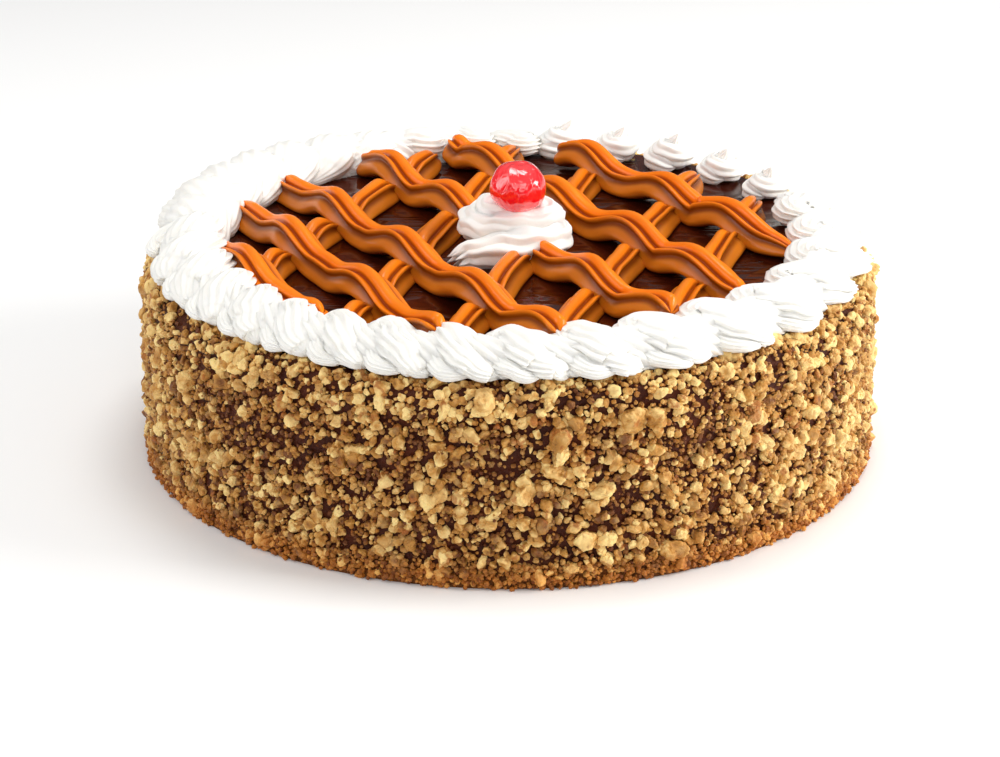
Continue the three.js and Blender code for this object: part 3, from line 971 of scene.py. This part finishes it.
def cream_border(material):
    random = np.random.default_rng(7)
    seams = shell_seams()
    for i, (start, stop) in enumerate(zip(seams, seams[1:])):
        middle = (start + stop) / 2 % 360
        tall, low, dome = (bump(middle, *arc) for arc in (TALL_ARC, LOW_ARC, NEAT_ARC))
        height = SHELL_HEIGHT - 0.6 + 5.5 * tall - 2.6 * low + 0.8 * dome
        half_width = SHELL_HALF_WIDTH + 1.2 * tall - 1.2 * low + 0.6 * dome
        radius = BORDER_RADIUS - 0.8 * low
        length = math.radians(stop - start) * radius
        angle = math.radians(middle)
        node = f"cream_shell_{i + 1:02d}"
        name = f"piped_shell_{i + 1:02d}"
        shake = random.normal(0, 0.016, SHELL_STROKE.shape)
        if DOLLOPS[0] < middle < DOLLOPS[1]:
            stroke = DOLLOP_STROKE * random.uniform(0.88, 1.1)
            path = np.column_stack([along_border(angle, radius, stroke), stroke[:, 2]])
            radii = np.repeat(stroke[:, 3:], 2, axis=1)
            place = bead(path, radii, random.uniform(1, 2), 8, 0.2, i * 3.7, 0.6)
            piece = piped(name, 72, 130, place)
        else:
            wave = smooth_step(0.45, 0.8, bump(middle, *WAVE_ARC))
            stroke = SHELL_STROKE * (1 - wave) + WAVE_STROKE * wave
            stroke += shake * (1, 1, 1, 0.6, 0.6) * (1 - 0.6 * wave)
            stroke[[0, -1], 3:] = np.abs(stroke[[0, -1], 3:]).clip(0.02, 0.3)
            reach = 0.5 * (USUAL_LENGTH + length) * (1 - 0.28 * bump(middle, *SHORT_ARC))
            flat = along_border(angle, radius, stroke * (reach, half_width, 1, 1, 1))
            path = np.column_stack([flat, stroke[:, 2] * height])
            radii = stroke[:, 3:] * (half_width * (length / USUAL_LENGTH) ** 0.8, height)
            twist = 0.3 - 0.2 * wave + random.uniform(-0.2, 0.2)
            depth = 0.17 - 0.06 * dome - 0.09 * wave
            teeth = 1.0 * (1 - wave) * (1 - 0.8 * dome)
            place = bead(
                path, radii, twist, SHELL_RIDGES, depth, i * 3.7, 0.4, 0.8 * (1 - wave),
                0.7 - 0.4 * wave, teeth, 0.43,
            )
            piece = piped(name, 90, 90, place)
        finished(piece, name, material, "cream", node)
    return cream_bed(material)


def cream_bed(material):
    """The cream under the shells, where the strokes run into each other."""
    first, last = math.radians(94), math.radians(372)

    def place(along, around, rim):
        angle = first + (last - first) * along
        turn = np.interp(around, (0, 0.8, 1), (0, np.pi, 2 * np.pi))
        degree = np.degrees(angle) % 360
        tall = np.exp(-(((degree - TALL_ARC[0]) / TALL_ARC[1]) ** 2))
        near = np.clip(np.minimum(along, 1 - along) / 0.03, 0, 1)
        end = np.sqrt(np.clip(1 - (1 - near) ** 2, 0.02, 1))
        swell = rim * end * (0.86 + 0.14 * crest_line(turn + 9 * angle, SHELL_RIDGES, 0.4))
        reach = BORDER_RADIUS - 0.3 + (9.6 + 1.0 * tall) * swell * np.cos(turn)
        height = (SHELL_HEIGHT * 0.90 + 2.6 * tall) * swell * np.sin(turn)
        seated = np.maximum(height, -0.2)
        points = np.column_stack([reach * np.cos(angle), reach * np.sin(angle), seated])
        uneven = [noise.noise(Vector(p) / 9) for p in points]
        points[:, 2] += np.array(uneven) * 0.8 * (height > 1) + TOP
        return points

    piece = piped("cream_bed", 64, 560, place)
    return finished(piece, "cream_bed", material, "cream")


# The rosette's stroke: place over the glaze and half width, in millimetres.
ROSETTE_STROKE = np.array([
    (-14.2, -18.4, 3.0, 2.8), (-12.4, -17.6, 3.6, 4.4), (-7.6, -17.2, 4.6, 5.4), (-1.2, -17.0, 5.8, 6.0),
    (5.8, -16.2, 6.6, 6.4), (12.2, -12.0, 6.2, 6.6), (14.4, -3.4, 6.6, 6.3), (9.2, 4.8, 7.4, 6.0),
    (0.5, 7.8, 8.2, 5.8), (-7.6, 5.8, 8.8, 5.7), (-11.2, 0.1, 9.2, 5.7), (-9.4, -6.8, 9.8, 5.7),
    (-2.5, -11.0, 10.4, 5.7), (5.8, -10.4, 10.8, 5.8), (12.4, -5.6, 11.0, 5.9), (11.6, 2.4, 11.6, 5.5),
    (4.0, 6.4, 12.2, 5.0), (-3.5, 4.6, 12.8, 4.8), (-6.6, -0.5, 13.0, 4.6), (-4.4, -5.4, 13.2, 4.6),
    (0.0, -7.4, 13.0, 4.6), (5.0, -6.0, 12.4, 3.2),
])


def centre_rosette(material):
    """One long stroke: a fringed start at the front left, a wide turn, then a tighter
    one that climbs on top of it and closes round the foot of the cherry."""
    path = ROSETTE_STROKE[:, :3]
    radii = np.repeat(ROSETTE_STROKE[:, 3:], 2, axis=1)
    place = bead(path, radii, 3.8, 8, 0.20, 5.5, 0.5, 4.5, 1.5)
    piece = piped("centre_rosette", 90, 300, place)
    return finished(piece, "centre_rosette", material, "cream", "cream_rosette")


def cherry(material):
    """A candied cherry, drawn in round its stalk's place and lightly wrinkled."""
    bpy.ops.object.select_all(action="DESELECT")
    bpy.ops.mesh.primitive_uv_sphere_add(segments=112, ring_count=80, radius=CHERRY_RADIUS * MM)
    piece = bpy.context.active_object
    points = points_of(piece)
    tilt = np.arccos(np.clip(points[:, 2] / (CHERRY_RADIUS * MM), -1, 1))
    folds = np.array([abs(noise.noise(Vector(p * (170, 170, 80)))) for p in points])
    wrinkle = 1 - 2 * folds
    points *= (1 - 0.14 * np.exp(-((tilt / 0.4) ** 2)) + 0.05 * wrinkle)[:, None]
    points[:, 2] *= 0.93
    points += np.array([CHERRY_PLACE[0], CHERRY_PLACE[1], TOP + CHERRY_PLACE[2]]) * MM
    place_points(piece, points)
    return finished(piece, "candied_cherry", material, "cherry", "cherry")


# Stage

def stage():
    bpy.ops.object.select_all(action="DESELECT")
    bpy.ops.mesh.primitive_plane_add(size=6, location=(0, 0, 0))
    floor = bpy.context.active_object
    floor.name = "floor"
    plain = Finish("plain_floor")
    floor.data.materials.append(plain.set({"Base Color": (0.95, 0.95, 0.95), "Roughness": 0.8}))

    world = bpy.context.scene.world or bpy.data.worlds.new("studio")
    bpy.context.scene.world = world
    world.use_nodes = True
    background = world.node_tree.nodes["Background"]
    background.inputs["Color"].default_value = (1, 1, 1, 1)
    where = world.node_tree.nodes.new("ShaderNodeTexCoord")
    split = world.node_tree.nodes.new("ShaderNodeSeparateXYZ")
    dome = world.node_tree.nodes.new("ShaderNodeMapRange")
    for key, value in (("From Min", 0.3), ("From Max", 0.7), ("To Min", 0.12), ("To Max", 0.52)):
        dome.inputs[key].default_value = value
    links = world.node_tree.links
    links.new(where.outputs["Object"], split.inputs[0])
    links.new(split.outputs["Z"], dome.inputs["Value"])
    links.new(dome.outputs["Result"], background.inputs["Strength"])

    for name, place, size, power, colour in (
        ("top_light", (0.1, 0.2, 1.1), 0.45, 4.4, (1, 0.99, 0.97)),
        ("right_light", (1.1, -0.1, 0.5), 0.6, 13.0, (1, 0.98, 0.95)),
        ("left_light", (-1.1, -0.1, 0.6), 0.7, 4.2, (1, 1, 1)),
        ("front_light", (-0.1, -1.3, 0.9), 0.9, 6.2, (1, 1, 1)),
    ):
        light = bpy.data.lights.new(name, "AREA")
        light.size = size
        light.energy = power
        light.color = colour
        lamp = bpy.data.objects.new(name, light)
        lamp.location = place
        aim = Vector((0, 0, 0.04)) - Vector(place)
        lamp.rotation_euler = aim.to_track_quat("-Z", "Y").to_euler()
        bpy.context.scene.collection.objects.link(lamp)


def camera():
    """Stands where the photograph was taken and looks at the middle of its frame."""
    height = math.radians(VIEW_HEIGHT)
    back = Vector((0, -math.cos(height), math.sin(height)))
    up = Vector((0, math.sin(height), math.cos(height)))
    right = Vector((1, 0, 0))
    place = Vector(VIEW_TARGET) + back * VIEW_DISTANCE
    focal = VIEW_FOCAL * PICTURE[0]
    aim = -back + right * (PICTURE[0] / 2 - TARGET_PIXEL[0]) / focal
    aim -= up * (PICTURE[1] / 2 - TARGET_PIXEL[1]) / focal
    lens = bpy.data.cameras.new("camera")
    lens.sensor_width = 36
    lens.lens = VIEW_FOCAL * lens.sensor_width
    eye = bpy.data.objects.new("camera", lens)
    eye.location = place * MM
    eye.rotation_euler = aim.to_track_quat("-Z", "Y").to_euler()
    bpy.context.scene.collection.objects.link(eye)
    bpy.context.scene.camera = eye
    bpy.context.scene.view_settings.view_transform = "Standard"


camera()
stage()
cream = cream_finish()
frosted_cake(frosting_finish())
walnut_side()
poured_glaze(glaze_finish())
caramel_lattice(caramel_finish())
cream_border(cream)
centre_rosette(cream)
cherry(cherry_finish())
